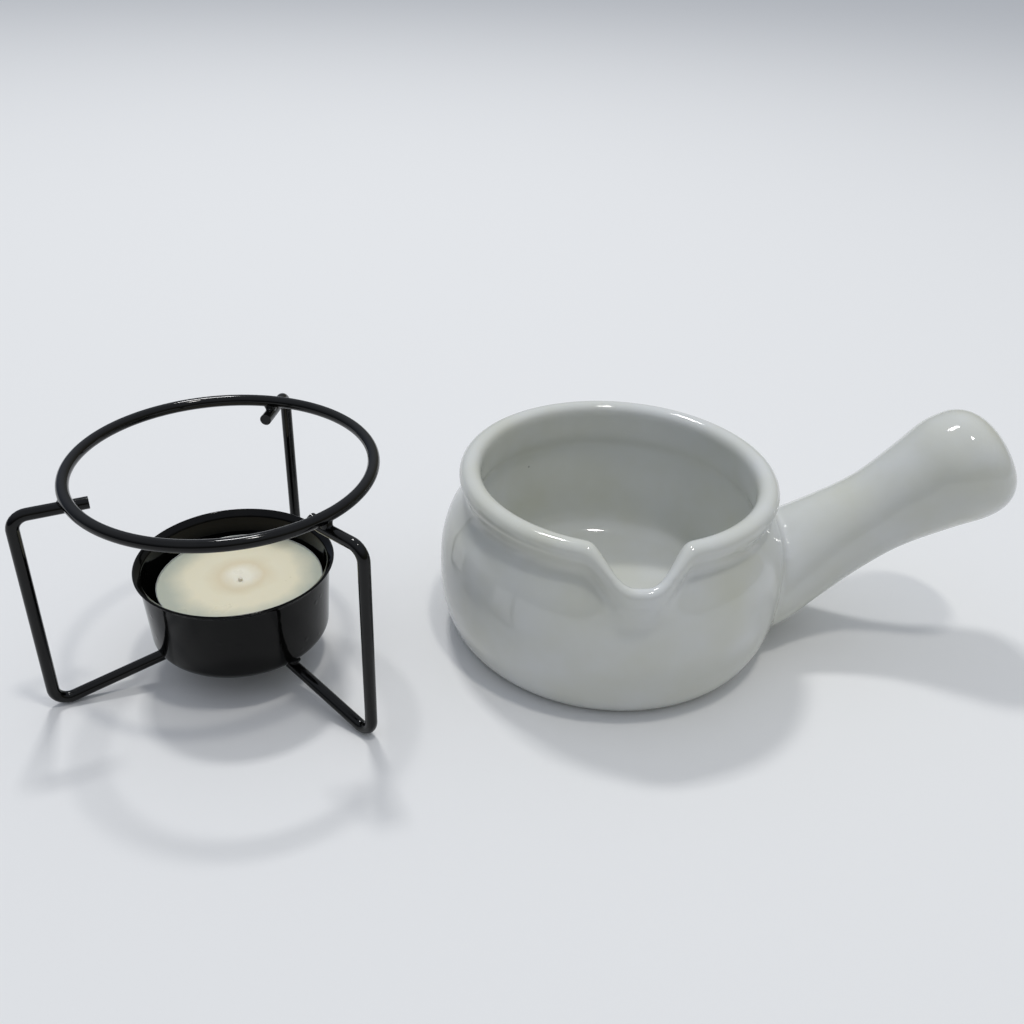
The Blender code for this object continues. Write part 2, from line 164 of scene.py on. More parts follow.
def evenSteps(path, step):      # the same path, its points an even step apart
    path = np.array([list(p) for p in path])
    gone = np.concatenate([[0], np.cumsum(np.linalg.norm(np.diff(path, axis=0), axis=1))])
    count = max(2, round(gone[-1] / step))
    marks = np.linspace(0, gone[-1], count + 1)
    return np.stack([np.interp(marks, gone, path[:, k]) for k in range(3)], axis=1)


# skin over rings of equal count; each end is closed to its own middle
def gridMesh(name, rings, closeAlong=False):
    rings = np.array(rings)
    count, sides = rings.shape[:2]
    verts = [tuple(p) for p in rings.reshape(-1, 3)]
    faces = []
    for i in range(count if closeAlong else count - 1):
        j = (i + 1) % count
        for k in range(sides):
            n = (k + 1) % sides
            faces.append((i * sides + k, i * sides + n, j * sides + n, j * sides + k))
    if not closeAlong:
        for i in (0, count - 1):
            verts.append(tuple(rings[i].mean(axis=0)))
            pole = len(verts) - 1
            faces += [(i * sides + k, i * sides + (k + 1) % sides, pole) for k in range(sides)]
    mesh = bpy.data.meshes.new(name)
    mesh.from_pydata(verts, [], faces)
    form = bmesh.new()
    form.from_mesh(mesh)
    bmesh.ops.remove_doubles(form, verts=form.verts, dist=0.001 * mm)
    bmesh.ops.recalc_face_normals(form, faces=form.faces)
    for face in form.faces:
        face.smooth = True
    form.to_mesh(mesh)
    form.free()
    return mesh


def newObject(name, mesh, material=None):
    obj = bpy.data.objects.new(name, mesh)
    bpy.context.scene.collection.objects.link(obj)
    if material:
        obj.data.materials.append(material)
    return obj


def bakedDown(obj):      # applies the modifiers and leaves a plain mesh
    bpy.context.view_layer.update()
    plain = bpy.data.meshes.new_from_object(
        obj.evaluated_get(bpy.context.evaluated_depsgraph_get()))
    obj.modifiers.clear()
    obj.data = plain
    plain.shade_smooth()


# solid of revolution round an upright axis; the profile is (radius, height) in mm
def turnedMesh(name, profile, axis, turns=192, wobble=None):
    profile = np.array([list(p)[:2] for p in profile], float) * mm
    angles = 2 * math.pi * np.arange(turns) / turns
    r, z = profile[:, :1], profile[:, 1:]
    if wobble is not None:
        r = r + wobble(r, z, angles[None, :]) * mm * (r > 0.05 * mm)
    rings = np.stack([axis.x + r * np.cos(angles), axis.y + r * np.sin(angles),
                      z + 0 * angles + axis.z], axis=2)
    closed = np.allclose(profile[0], profile[-1])
    return gridMesh(name, rings[:-1] if closed else rings, closeAlong=closed)


# fuses overlapping closed forms and softens every joint between them
def melted(obj, voxel, rounds):
    remesh = obj.modifiers.new("fuse", "REMESH")
    remesh.mode = "VOXEL"
    remesh.voxel_size = voxel * mm
    remesh.use_smooth_shade = True
    soften = obj.modifiers.new("soften", "SMOOTH")
    soften.factor = 0.5
    soften.iterations = rounds
    bakedDown(obj)


# camera, floor and light
view = {"fromPot": (-40.35, -215.7), "height": 162.7, "yaw": 4.0, "pitchDown": 31.29,
        "roll": 2.41, "lens": 36.30}


def setCamera():
    yaw, pitch, roll = (math.radians(view[k]) for k in ("yaw", "pitchDown", "roll"))
    ahead = Vector((math.sin(yaw) * math.cos(pitch), math.cos(yaw) * math.cos(pitch),
                    -math.sin(pitch)))
    right = Vector((math.cos(yaw), -math.sin(yaw), 0))
    up = right.cross(ahead)
    turnedRight = right * math.cos(roll) + up * math.sin(roll)
    turnedUp = up * math.cos(roll) - right * math.sin(roll)
    place = potAxis + Vector((*view["fromPot"], view["height"])) * mm
    data = bpy.data.cameras.new("mainCamera")
    data.sensor_width = 36
    data.lens = view["lens"]
    data.clip_start = 0.005
    camera = bpy.data.objects.new("mainCamera", data)
    camera.matrix_world = Matrix((turnedRight, turnedUp, -ahead)).transposed().to_4x4()
    camera.matrix_world.translation = place
    bpy.context.scene.collection.objects.link(camera)
    bpy.context.scene.camera = camera


# matt paper: an even pale ground with a faint tooth, so that it never mirrors the pieces
floorLook = {"color": "#EAEAE9", "halfSide": 3.0, "grain": 1.11, "roughness": 0.9, "gloss": 0.1}
lights = {  # azimuth and height angle seen from the frame's origin; distance and size in metres
    "backSoftbox": {"turn": 108, "rise": 64, "away": 1.5, "wide": 0.20, "tall": 0.13,
                    "watts": 6.4, "color": "#FFFFFF"},
    "topSoftbox": {"turn": -44, "rise": 80, "away": 1.5, "wide": 0.10, "tall": 0.15,
                   "watts": 3.8, "color": "#FFFDF8"},
}
# the room round the table; each span is where one side turns into the other, from -1 to 1
sky = {"above": "#E4EAF6", "backLeft": "#8A94A6", "backRight": "#9F9D86",
       "frontLeft": "#4C5058", "frontRight": "#86826A", "strength": 0.74,
       "toBack": (-0.8, 0.7), "toRight": (-0.6, 0.8), "toAbove": (0.10, 0.80)}


def buildFloor():
    material, tree, where = newMaterial("paleFloorPaper")
    tooth = bumped(tree, noiseOf(tree, where, floorLook["grain"], 2), 0.02, 0.05)
    closeMaterial(tree, {"Base Color": linearColor(floorLook["color"]),
                         "Roughness": floorLook["roughness"],
                         "Specular IOR Level": floorLook["gloss"], "Normal": tooth})
    half = floorLook["halfSide"]
    mesh = bpy.data.meshes.new("floor")
    mesh.from_pydata([(-half, -half, 0), (half, -half, 0), (half, half, 0), (-half, half, 0)],
                     [], [(0, 1, 2, 3)])
    newObject("floor", mesh, material)


def buildLights():
    for name, spec in lights.items():
        data = bpy.data.lights.new(name, "AREA")
        data.shape = "RECTANGLE"
        data.size, data.size_y = spec["wide"], spec["tall"]
        data.energy = spec["watts"]
        data.color = linearColor(spec["color"])[:3]
        lamp = bpy.data.objects.new(name, data)
        turn, rise = math.radians(spec["turn"]), math.radians(spec["rise"])
        toward = Vector((math.cos(turn) * math.cos(rise), math.sin(turn) * math.cos(rise),
                         math.sin(rise)))
        lamp.location = toward * spec["away"]
        lamp.rotation_euler = toward.to_track_quat("Z", "Y").to_euler()
        bpy.context.scene.collection.objects.link(lamp)

    world = bpy.data.worlds.new("studio")
    bpy.context.scene.world = world
    world.use_nodes = True
    tree = world.node_tree
    tree.nodes.clear()
    way = addNode(tree, "ShaderNodeTexCoord").outputs["Generated"]
    part = addNode(tree, "ShaderNodeSeparateXYZ", {}, {"Vector": way})
    toBack = stretched(tree, part.outputs["Y"], sky["toBack"])
    toRight = stretched(tree, part.outputs["X"], sky["toRight"])
    front, back = (blend(tree, toRight, linearColor(sky[end + "Left"]),
                         linearColor(sky[end + "Right"])) for end in ("front", "back"))
    lift = stretched(tree, part.outputs["Z"], sky["toAbove"], soft=True)
    walls = blend(tree, toBack, front, back)
    room = blend(tree, lift, walls, linearColor(sky["above"]))
    light = addNode(tree, "ShaderNodeBackground", {}, {"Color": room, "Strength": sky["strength"]})
    addNode(tree, "ShaderNodeOutputWorld", {}, {"Surface": light.outputs["Background"]})
    bpy.context.scene.view_settings.view_transform = "Standard"


setCamera()
buildFloor()
buildLights()
print("camera, floor and light set")


# the pot: one casting with its handle luted on, then glazed all over
pot = {"height": 44.6, "footRadius": 38.3, "bellyRadius": 42.7, "rimRadius": 38.4,
       "bead": 2.7, "neckIn": 1.7, "wall": 3.6, "floor": 4.6, "footRing": 4.2,
       "footRecess": 0.7, "insideRadius": 34.6, "bowlFrom": 12.0, "turns": 288,
       "footEdge": 1.5, "voxel": 0.72, "softening": 8,
       # share of the way out from foot to belly, then from neck to belly; share of the height
       "swell": [(0.42, 0.085), (0.78, 0.19), (0.96, 0.30), (1.0, 0.42)],
       "drawIn": [(0.93, 0.545), (0.68, 0.665), (0.30, 0.755), (0.0, 0.825)],
       # from the foot of the inside wall: share of its radius, share of its height over the floor
       "bottom": [(0.985, 0.62), (0.935, 0.30), (0.83, 0.07), (0.6, 0.01), (0.3, 0.0),
                  (0.0, 0.0)]}
spout = {"turn": -90, "halfAngle": 19, "reach": 5.2, "drop": 6.4, "lipThinning": 0.32,
         "startsAt": 0.61, "gather": 0.42, "full": 0.12}
handle = {"tip": 96.8, "rootHeight": 12.7, "endHeight": 45.8, "waist": 10.7, "bulb": 13.9,
          "rootWidth": 17.4, "rootDepth": 11.8, "capLength": 0.75, "capBluntness": 0.72,
          "capDroop": 0.107, "sides": 96}


def arc(middle, radius, start, end, steps):
    turns = np.radians(np.linspace(start, end, steps))
    return [(middle[0] + radius * math.cos(t), middle[1] + radius * math.sin(t)) for t in turns]


def potOutside():      # outer side, from the foot up to the widest place of the rim bead
    neck, low = pot["rimRadius"] - pot["neckIn"], pot["footRadius"]
    belly, high = pot["bellyRadius"], pot["height"]
    beadMiddle = (pot["rimRadius"] - pot["bead"], high - pot["bead"])
    marks = [(low - 0.9, 0.3), (low, 1.2)]
    marks += [(mix(low, belly, a), high * b) for a, b in pot["swell"]]
    marks += [(mix(neck, belly, a), high * b) for a, b in pot["drawIn"]]
    marks += [(neck + 0.35, high * 0.868)] + arc(beadMiddle, pot["bead"], -38, 0, 4)
    return smoothThrough(marks, 6)


def potProfile(outside):
    high, bead, floor = pot["height"], pot["bead"], pot["floor"]
    beadMiddle = (pot["rimRadius"] - bead, high - bead)
    over = arc(beadMiddle, bead, 6, 174, 24)
    along = np.gradient(outside, axis=0)
    across = np.stack([-along[:, 1], along[:, 0]], axis=1)
    across /= np.linalg.norm(across, axis=1)[:, None]
    inner = outside + across * pot["wall"]
    inner[:, 0] = np.minimum(inner[:, 0], pot["insideRadius"])      # no ledge under the rim
    inner = inner[(outside[:, 1] > floor * 1.5) & (inner[:, 1] > pot["bowlFrom"])
                  & (outside[:, 1] < high * 0.83)]
    lowest = inner[0]
    bottom = [(lowest[0] * a, mix(floor, lowest[1], b)) for a, b in pot["bottom"]]
    marks = list(inner[::-1][::5]) + bottom
    wall = smoothThrough([over[-1]] + marks, 6)[1:]
    footOuter = pot["footRadius"] - pot["footEdge"]
    footInner = footOuter - pot["footRing"]
    recess = pot["footRecess"]
    under = [(footOuter - 0.2, 0.0), (footInner + 0.3, 0.0), (footInner - 0.8, recess),
             (20.0, recess), (0.0, recess)]
    return np.vstack([wall[::-1], over[::-1], outside[::-1][1:], under])


# pulls the spout out of the plain turned pot; points are rows of x, y, z in mm
def formSpout(points, outside):
    x, y, height = points.T
    way = math.radians(spout["turn"])
    turn = np.arctan2(y, x)
    turn = turn - spout["gather"] * np.sin(turn - way)      # finer columns at the spout
    radius = np.hypot(x, y)
    aside = np.degrees(np.abs((turn - way + math.pi) % (2 * math.pi) - math.pi))
    pull = 1 - ease((aside / spout["halfAngle"] - spout["full"]) / (1 - spout["full"]))
    start, beadAt = pot["height"] * spout["startsAt"], pot["height"] - pot["bead"]
    beadZone = pot["bead"] * 1.3
    plain = np.interp(height, outside[:, 1], outside[:, 0])
    up = np.clip((height - start) / (beadAt - start), 0, None)
    lip = pot["rimRadius"] + spout["reach"]
    startRadius = np.interp(start, outside[:, 1], outside[:, 0])
    shift = np.where(height < beadAt, mix(startRadius, lip, up) - plain, spout["reach"])
    nearBead = ease((height - (beadAt - beadZone)) / beadZone)
    thin = spout["lipThinning"] * pull * nearBead
    acts = (pull > 0) & (height > start) & (radius > pot["rimRadius"] * 0.7)
    moved = mix(radius, pot["rimRadius"] - pot["bead"], thin) + pull * shift
    dropped = mix(height, beadAt, thin) - pull * spout["drop"] * ease(up)
    radius, height = np.where(acts, moved, radius), np.where(acts, dropped, height)
    return np.stack([radius * np.cos(turn), radius * np.sin(turn), height], axis=1)


def handleRings():
    root, end = pot["bellyRadius"] * 0.86, handle["tip"] - handle["bulb"] * 0.86
    low, high = handle["rootHeight"], handle["endHeight"]
    waist, bulb = handle["waist"], handle["bulb"]
    wide, deep = handle["rootWidth"], handle["rootDepth"]
    # share of the way out, share of the way up, half width, half depth
    marks = [(-0.10, -0.05, wide * 1.06, deep * 0.96), (0.05, 0.06, wide, deep),
             (0.20, 0.20, mix(waist, wide, 0.52), deep * 0.99),
             (0.40, 0.40, mix(waist, wide, 0.10), waist * 1.03),
             (0.60, 0.60, waist, waist * 0.99),
             (0.80, 0.808, mix(waist, bulb, 0.49), mix(waist, bulb, 0.49)),
             (0.93, 0.942, mix(waist, bulb, 0.96), mix(waist, bulb, 0.96)),
             (1.0, 1.0, bulb, bulb)]
    line = smoothThrough([(mix(root, end, a), mix(low, high, b), c, d) for a, b, c, d in marks], 8)
    rings = []
    turns = 2 * math.pi * np.arange(handle["sides"]) / handle["sides"]

    def ring(x, z, along, halfWide, halfDeep):
        up = np.array([-along[1], along[0]])
        rise = halfDeep * np.sin(turns)
        return np.stack([x + up[0] * rise, halfWide * np.cos(turns), z + up[1] * rise], axis=1)

    for i, (x, z, halfWide, halfDeep) in enumerate(line):
        along = line[min(i + 1, len(line) - 1)][:2] - line[max(i - 1, 0)][:2]
        along = along / np.linalg.norm(along)
        rings.append(ring(x, z, along, halfWide, halfDeep))
    x, z = line[-1][:2]
    for t in np.radians(np.linspace(0, 89, 26)[1:]):
        reach = bulb * handle["capLength"] * math.sin(t)
        droop = bulb * handle["capDroop"] * math.sin(t) ** 2
        thick = bulb * math.cos(t) ** handle["capBluntness"]
        rings.append(ring(x + along[0] * reach, z + along[1] * reach - droop, along, thick, thick))
    return np.array(rings)


# starts every line of the handle inside the pot's wall, with a cap curved to match
def seatedInWall(rings, outside):
    core = outside[:, 0] - pot["wall"] * 0.5
    depth = np.hypot(rings[..., 0], rings[..., 1]) - np.interp(rings[..., 2], outside[:, 1], core)
    seated = rings.copy()
    for k in range(rings.shape[1]):
        last = np.nonzero(depth[:, k] < 0)[0]
        i = last[-1] if len(last) else 0
        share = -depth[i, k] / (depth[i + 1, k] - depth[i, k])
        start = mix(rings[i, k], rings[i + 1, k], share)
        for j in range(i + 1):      # bunches the buried stations just outside the start
            seated[j, k] = mix(start, rings[i + 1, k], 0.9 * j / (i + 1))
    edge = seated[0]
    turn, height = np.arctan2(edge[:, 1], edge[:, 0]), edge[:, 2]
    middle = (height.max() + height.min()) / 2
    caps = []
    for s in (0.02, 0.25, 0.5, 0.75):
        z = mix(middle, height, s)
        r = np.interp(z, outside[:, 1], core)
        caps.append(np.stack([r * np.cos(turn * s), r * np.sin(turn * s), z], axis=1))
    return np.concatenate([caps, seated])


def buildPot(material):
    outside = potOutside()
    profile = potProfile(outside)
    angles = 2 * math.pi * np.arange(pot["turns"]) / pot["turns"]
    r, z = profile[:, :1], profile[:, 1:]
    bowl = np.stack([r * np.cos(angles), r * np.sin(angles), z + 0 * angles], axis=2)
    shape = bowl.shape
    bowl = formSpout(bowl.reshape(-1, 3), outside).reshape(shape)
    arm = seatedInWall(handleRings(), outside)
    base = np.array(potAxis)
    form = bmesh.new()
    form.from_mesh(gridMesh("bowlForm", bowl * mm + base))
    form.from_mesh(gridMesh("handleForm", arm * mm + base))
    mesh = bpy.data.meshes.new("porcelainPot")
    form.to_mesh(mesh)
    form.free()
    obj = newObject("porcelainPot", mesh)
    melted(obj, pot["voxel"], pot["softening"])
    for vert in obj.data.vertices:      # the foot is ground flat
        vert.co.z = max(0.0, vert.co.z)
    obj.data.materials.append(material)
    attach(obj, "pot")
    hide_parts("pot_bowl", "pot_handle")


# white-firing porcelain under a clear gloss glaze: an even cool white that mirrors the room
# softly, a touch warmer in cloudy patches, with a few dark specks from the clay and a bare,
# matt foot where it was ground
glaze = {"body": "#D2D4D2", "pooled": "#CACBBF", "bisque": "#D6D2C6", "speck": "#4A463C",
         "roughness": 0.07, "bareRoughness": 0.85, "peel": 1.6, "waviness": 14.0, "cloud": 22.0,
         "speckSpacing": 19.0, "speckShares": (0.016, 0.03), "footBare": (0.15, 0.45)}


def glazedPorcelain():
    material, tree, where = newMaterial("glazedPorcelain")
    cloud = noiseOf(tree, where, glaze["cloud"], 3)
    tone = ramp(tree, cloud, [(0.35, glaze["body"]), (0.75, glaze["pooled"])])
    cells = addNode(tree, "ShaderNodeTexVoronoi", {"feature": "F1"}, {
        "Vector": where, "Scale": 1 / (glaze["speckSpacing"] * mm), "Randomness": 1.0})
    speck = stretched(tree, cells.outputs["Distance"], glaze["speckShares"], (0.75, 0.0), True)
    spotted = blend(tree, speck, tone, linearColor(glaze["speck"]))
    low = addNode(tree, "ShaderNodeSeparateXYZ", {}, {"Vector": where})
    edge = [height * mm for height in glaze["footBare"]]
    bare = stretched(tree, low.outputs["Z"], edge, (1.0, 0.0), True)
    color = blend(tree, bare, spotted, linearColor(glaze["bisque"]))
    rough = stretched(tree, bare, (0, 1), (glaze["roughness"], glaze["bareRoughness"]))
    broad = bumped(tree, noiseOf(tree, where, glaze["waviness"], 1), 0.35, 0.35)
    fine = bumped(tree, noiseOf(tree, where, glaze["peel"], 2), 0.10, 0.03, broad)
    dents = addNode(tree, "ShaderNodeBump", {"invert": True}, {
        "Height": speck, "Strength": 0.5, "Distance": 0.15 * mm, "Normal": fine})
    closeMaterial(tree, {"Base Color": color, "Roughness": rough, "IOR": 1.5,
                         "Normal": dents.outputs["Normal"],
                         "Subsurface Weight": 0.08, "Subsurface Radius": (1.0, 0.9, 0.7),
                         "Subsurface Scale": 1.2 * mm})
    return material


buildPot(glazedPorcelain())
print("pot cast, handle luted on and glazed")


# the stand's wires
wire = {"radius": 1.35, "sides": 24, "step": 0.7, "waver": 0.008, "waverLength": 2.22,
        "endRound": 0.75,
        # a cut end rounds off: share of endRound along the wire, share of the full radius
        "endSteps": ((0.0, 0.62), (0.10, 0.80), (0.28, 0.93), (0.6, 1.0))}
stand = {"height": 54.3, "ringRadius": 32.5, "ringSteps": 300, "legOverhang": 10.7,
         "stubInside": 4.5, "bend": 3.2, "underHolder": 3.4, "gap": 0.3,
         "stubRise": {"left": 0.0, "right": 0.8, "rear": 0.1},
         "legs": {"left": 204.0, "right": 318.4, "rear": 80.4}}
holder = {"lift": 8.7, "height": 19.6, "sheet": 0.6, "taper": 1.0, "flange": 1.1,
          "flangeRise": 1.1, "corner": 2.5, "flangeCorner": 0.8, "cupRadius": 18.9,
          "cupTaper": 0.8, "slack": 1.6, "turns": 256,
          # how far out of round, in mm: waves round it, their height and where they start
          "outOfRound": ((2, 0.07, 0.6), (3, 0.05, 2.0), (7, 0.02, 0.0))}
holderBase = holder["cupRadius"] - holder["cupTaper"] + holder["slack"] + holder["sheet"]


def wireTree():      # a line with a thickness on each point becomes round drawn wire
    tree = bpy.data.node_groups.new("drawnWire", "GeometryNodeTree")
    for socket, kind in (("Path", "Geometry"), ("Radius", "Float"), ("Sides", "Int"),
                         ("Enamel", "Material")):
        tree.interface.new_socket(socket, in_out="INPUT", socket_type="NodeSocket" + kind)
    tree.interface.new_socket("Wire", in_out="OUTPUT", socket_type="NodeSocketGeometry")
    given = addNode(tree, "NodeGroupInput").outputs
    line = addNode(tree, "GeometryNodeMeshToCurve", {}, {"Mesh": given["Path"]})
    thick = addNode(tree, "GeometryNodeInputNamedAttribute", {"data_type": "FLOAT"},
                    {"Name": "thickness"})
    sized = addNode(tree, "GeometryNodeSetCurveRadius", {}, {
        "Curve": line.outputs["Curve"], "Radius": thick.outputs["Attribute"]})
    section = addNode(tree, "GeometryNodeCurvePrimitiveCircle", {}, {
        "Resolution": given["Sides"], "Radius": given["Radius"]})
    tube = addNode(tree, "GeometryNodeCurveToMesh", {}, {
        "Curve": sized.outputs["Curve"], "Profile Curve": section.outputs["Curve"],
        "Fill Caps": True})
    smooth = addNode(tree, "GeometryNodeSetShadeSmooth", {}, {"Geometry": tube.outputs["Mesh"]})
    real = addNode(tree, "GeometryNodeRealizeInstances", {},
                   {"Geometry": smooth.outputs["Geometry"]})
    coated = addNode(tree, "GeometryNodeSetMaterial", {}, {
        "Geometry": real.outputs["Geometry"], "Material": given["Enamel"]})
    addNode(tree, "NodeGroupOutput", {}, {"Wire": coated.outputs["Geometry"]})
    return tree


# runs the wire tree along a path given in metres
def drawWire(name, path, closed, tree, material, radiusScale=1.0):
    path = [Vector(p) for p in path]
    thickness = [1 + wire["waver"] * noise.noise(p / (wire["waverLength"] * mm)) for p in path]
    if not closed:
        ends = wire["endSteps"]
        head, tail = (path[1] - path[0]).normalized(), (path[-2] - path[-1]).normalized()
        roundness = wire["endRound"] * mm
        first = [path[0] + head * a * roundness for a, _ in ends]
        last = [path[-1] + tail * a * roundness for a, _ in ends][::-1]
        sizes = [t for _, t in ends]
        path = first + path[2:-2] + last
        thickness = sizes + thickness[2:-2] + sizes[::-1]
    edges = [(i, i + 1) for i in range(len(path) - 1)] + ([(len(path) - 1, 0)] if closed else [])
    mesh = bpy.data.meshes.new(name)
    mesh.from_pydata(path, edges, [])
    mesh.attributes.new("thickness", "FLOAT", "POINT").data.foreach_set("value", thickness)
    obj = newObject(name, mesh)
    nodes = obj.modifiers.new("drawnWire", "NODES")
    nodes.node_group = tree
    values = {"Radius": wire["radius"] * mm * radiusScale, "Sides": wire["sides"],
              "Enamel": material}
    for item in tree.interface.items_tree:
        if item.in_out == "INPUT" and item.name in values:
            nodes[item.identifier] = values[item.name]
    bakedDown(obj)
    weldCaps(obj.data)
    return obj


def weldCaps(mesh):
    form = bmesh.new()
    form.from_mesh(mesh)
    bmesh.ops.remove_doubles(form, verts=form.verts, dist=0.0005 * mm)
    bmesh.ops.recalc_face_normals(form, faces=form.faces)
    for face in form.faces:
        face.smooth = len(face.verts) <= 4
    form.to_mesh(mesh)
    form.free()


def ringPath():
    height = stand["height"] - wire["radius"]
    turns = 2 * math.pi * np.arange(stand["ringSteps"]) / stand["ringSteps"]
    r = stand["ringRadius"]
    return [standAxis + Vector((r * math.cos(t), r * math.sin(t), height)) * mm for t in turns]


def legCorners(stubRise):
    thick = wire["radius"]
    underRing = stand["height"] - 3 * thick - stand["gap"]
    reach = stand["ringRadius"] + stand["legOverhang"]
    inner = holderBase - stand["underHolder"]
    slope = math.atan2(holder["lift"] - stand["gap"] - 2 * thick, reach - inner)
    innerHeight = holder["lift"] - stand["gap"] - thick / math.cos(slope)
    stub = stand["ringRadius"] - stand["stubInside"]
    corners = [(stub, 0, underRing + stubRise), (stub + 3, 0, underRing + stubRise * 0.15),
               (reach, 0, underRing), (reach, 0, thick), (inner, 0, innerHeight)]
    lowest = min(p.z for p in roundCorners(corners, stand["bend"], 24))
    corners[3] = (reach, 0, thick - (lowest - thick))      # its bend rests on the table
    return corners


def legPath(side):
    corners = legCorners(stand["stubRise"][side])
    path = evenSteps(roundCorners(corners, stand["bend"], 24), wire["step"])
    turn = Matrix.Rotation(math.radians(stand["legs"][side]), 3, "Z")
    return [turn @ Vector(p) * mm + standAxis for p in path]


def buildWires(tree, material):
    ring = drawWire("ringWire", ringPath(), True, tree, material)
    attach(ring, "stand")
    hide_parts("stand_ring")
    for side in stand["legs"]:
        leg = drawWire(side + "LegWire", legPath(side), False, tree, material)
        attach(leg, "stand")
        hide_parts("leg_" + side)


# resistance welds drowned in enamel: the coat draws into each crossing as a soft web
weld = {"atRing": (1.5, 1.5, 0.95), "underHolder": (1.6, 1.3, 0.6), "inFromEdge": 2.0,
        "sunk": 0.1, "reach": 4.0, "voxel": 0.2, "softening": 10, "shrink": 0.98}


def shortLength(path, middle, reach):
    near = [p for p in path if (p - middle).length < reach * mm]
    return near if len(near) > 3 else path[:4]


def buildWeld(name, middle, paths, size, tree, material):
    form = bmesh.new()
    for i, path in enumerate(paths):
        piece = drawWire(name + "Part%d" % i, shortLength(path, middle, weld["reach"]), False,
                         tree, material, weld["shrink"])
        form.from_mesh(piece.data)
        bpy.data.objects.remove(piece)
    added = bmesh.ops.create_icosphere(form, subdivisions=3, radius=1.0)
    for vert in added["verts"]:
        vert.co = middle + Vector([c * s * mm for c, s in zip(vert.co, size)])
    mesh = bpy.data.meshes.new(name)
    form.to_mesh(mesh)
    form.free()
    obj = newObject(name, mesh)
    melted(obj, weld["voxel"], weld["softening"])
    obj.data.materials.append(material)
    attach(obj, "stand")


def buildWelds(tree, material):
    ring = ringPath()
    for side, degrees in stand["legs"].items():
        turn = math.radians(degrees)
        out = Vector((math.cos(turn), math.sin(turn), 0))
        leg = legPath(side)
        crossing = standAxis + out * stand["ringRadius"] * mm
        crossing.z = (stand["height"] - 2 * wire["radius"] - stand["gap"] / 2) * mm
        buildWeld(side + "RingWeld", crossing, [ring, leg], weld["atRing"], tree, material)
        meets = standAxis + out * (holderBase - weld["inFromEdge"]) * mm
        meets.z = (holder["lift"] - weld["sunk"]) * mm
        buildWeld(side + "HolderWeld", meets, [leg], weld["underHolder"], tree, material)


def sheetProfile(middle, thickness):      # both faces of a pressed sheet, from its middle line
    middle = np.array([(p[0], p[2]) for p in middle])
    along = np.gradient(middle, axis=0)
    across = np.stack([-along[:, 1], along[:, 0]], axis=1)
    across *= thickness / 2 / np.linalg.norm(across, axis=1)[:, None]
    inner, outer = middle + across, middle - across
    inner[0, 0] = outer[0, 0] = 0
    start = math.degrees(math.atan2(across[-1, 1], across[-1, 0]))
    nose = arc(middle[-1], thickness / 2, start, start - 180, 9)[1:-1]
    return np.vstack([inner, nose, outer[::-1]])


def spread(path, step):      # keeps a profile's corners and fills its long straights
    filled = []
    for a, b in zip(path, path[1:]):
        a, b = np.array(a, float), np.array(b, float)
        count = max(1, int(np.linalg.norm(b - a) / step))
        filled += [mix(a, b, i / count) for i in range(count)]
    return filled + [np.array(path[-1], float)]


def buildHolder(material):
    base = holderBase - holder["sheet"] / 2
    floor = holder["lift"] + holder["sheet"] / 2
    mouth = holder["lift"] + holder["height"] - holder["flangeRise"] - holder["sheet"] / 2
    flange = (base + holder["taper"] + holder["flange"], 0, mouth + holder["flangeRise"])
    corners = [(0, 0, floor), (base, 0, floor), (base + holder["taper"], 0, mouth), flange]
    middle = roundCorners(corners[:3], holder["corner"], 10)[:-1]
    middle += roundCorners([middle[-1]] + corners[2:], holder["flangeCorner"], 8)[1:]
    profile = sheetProfile(spread(middle, 1.2), holder["sheet"])

    def wobble(r, z, a):            # a press leaves it a hair out of round
        lift = np.clip((z / mm - 12) / 15, 0, 1)
        return lift * sum(high * np.sin(waves * a + start)
                          for waves, high, start in holder["outOfRound"])

    mesh = turnedMesh("pressedHolder", profile, standAxis, holder["turns"], wobble)
    obj = newObject("pressedHolder", mesh, material)
    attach(obj, "stand")
    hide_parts("tealight_holder")


# black stove enamel over steel: a deep, wet-looking black whose coat sags and peels slightly,
# so that bright streaks waver along the wire
enamel = {"coat": "#050505", "worn": "#0D0D0C", "roughness": 0.065, "cloud": 9.0,
          "peel": 1.3, "nibs": 4.2, "nibShares": (0.04, 0.2),
          "onWire": {"peelStrength": 0.06, "nibStrength": 0.0, "gloss": 0.26},
          "onPressing": {"peelStrength": 0.14, "nibStrength": 0.30, "gloss": 0.14}}


def stoveEnamel(name, coat):
    material, tree, where = newMaterial(name)
    cloud = noiseOf(tree, where, enamel["cloud"], 4, 0.6)
    tone = ramp(tree, cloud, [(0.4, enamel["coat"]), (0.75, enamel["worn"])])
    rough = stretched(tree, cloud, (0.3, 0.8), (enamel["roughness"] * 0.7,
                                                enamel["roughness"] * 1.6))
    lumps = addNode(tree, "ShaderNodeTexVoronoi", {"feature": "SMOOTH_F1"}, {
        "Vector": where, "Scale": 1 / (enamel["nibs"] * mm), "Smoothness": 0.4})
    nibs = stretched(tree, lumps.outputs["Distance"], enamel["nibShares"], (1.0, 0.0), True)
    peel = noiseOf(tree, where, enamel["peel"], 1)
    soft = bumped(tree, peel, coat["peelStrength"], 0.08)
    closeMaterial(tree, {"Base Color": tone, "Roughness": rough, "IOR": 1.52,
                         "Specular IOR Level": coat["gloss"],
                         "Normal": bumped(tree, nibs, coat["nibStrength"], 0.12, soft)})
    return material


